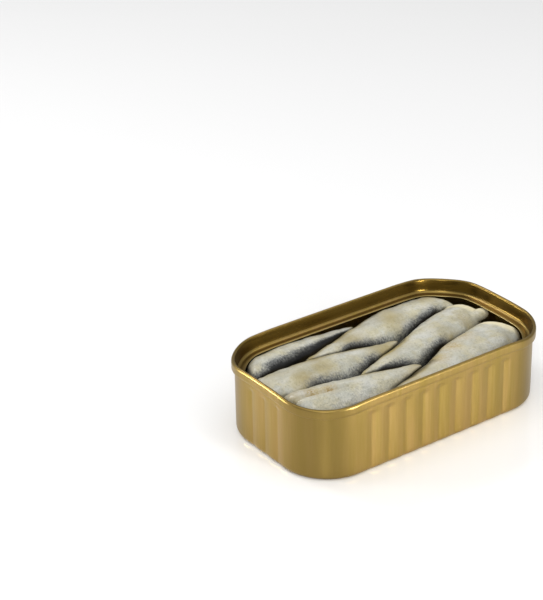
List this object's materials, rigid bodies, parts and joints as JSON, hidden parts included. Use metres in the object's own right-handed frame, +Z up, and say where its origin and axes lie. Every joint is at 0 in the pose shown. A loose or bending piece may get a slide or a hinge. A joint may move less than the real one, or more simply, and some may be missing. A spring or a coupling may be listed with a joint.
{
  "type": "sardine tin",
  "caption": "Opened rectangular sardine tin with rounded corners, fluted sides, a seamed rim and small headless fish packed heads to tails.",
  "frame": {"origin": "under the middle of the base, on the surface that the tin stands on", "axes": "+Z up, X along the tin, Y across it, and the low fish lies along the -Y wall"},
  "size_m": [0.1064, 0.0606, 0.0285],
  "materials": {
    "gold_lacquer": "satin gold lacquer on tinplate",
    "fish_skin": "moist silver fish skin with a dark back",
    "oily_filling": "dark oil over packed fish"
  },
  "bodies": {
    "root": {"tin_body": "gold_lacquer", "lid_ring": "gold_lacquer", "packed_filling": "oily_filling", "sardine_back_left": "fish_skin", "sardine_back_right": "fish_skin", "sardine_middle_left": "fish_skin", "sardine_middle_right": "fish_skin", "sardine_front_left": "fish_skin", "sardine_front_right": "fish_skin", "sardine_front_low": "fish_skin"}
  },
  "joints": []
}
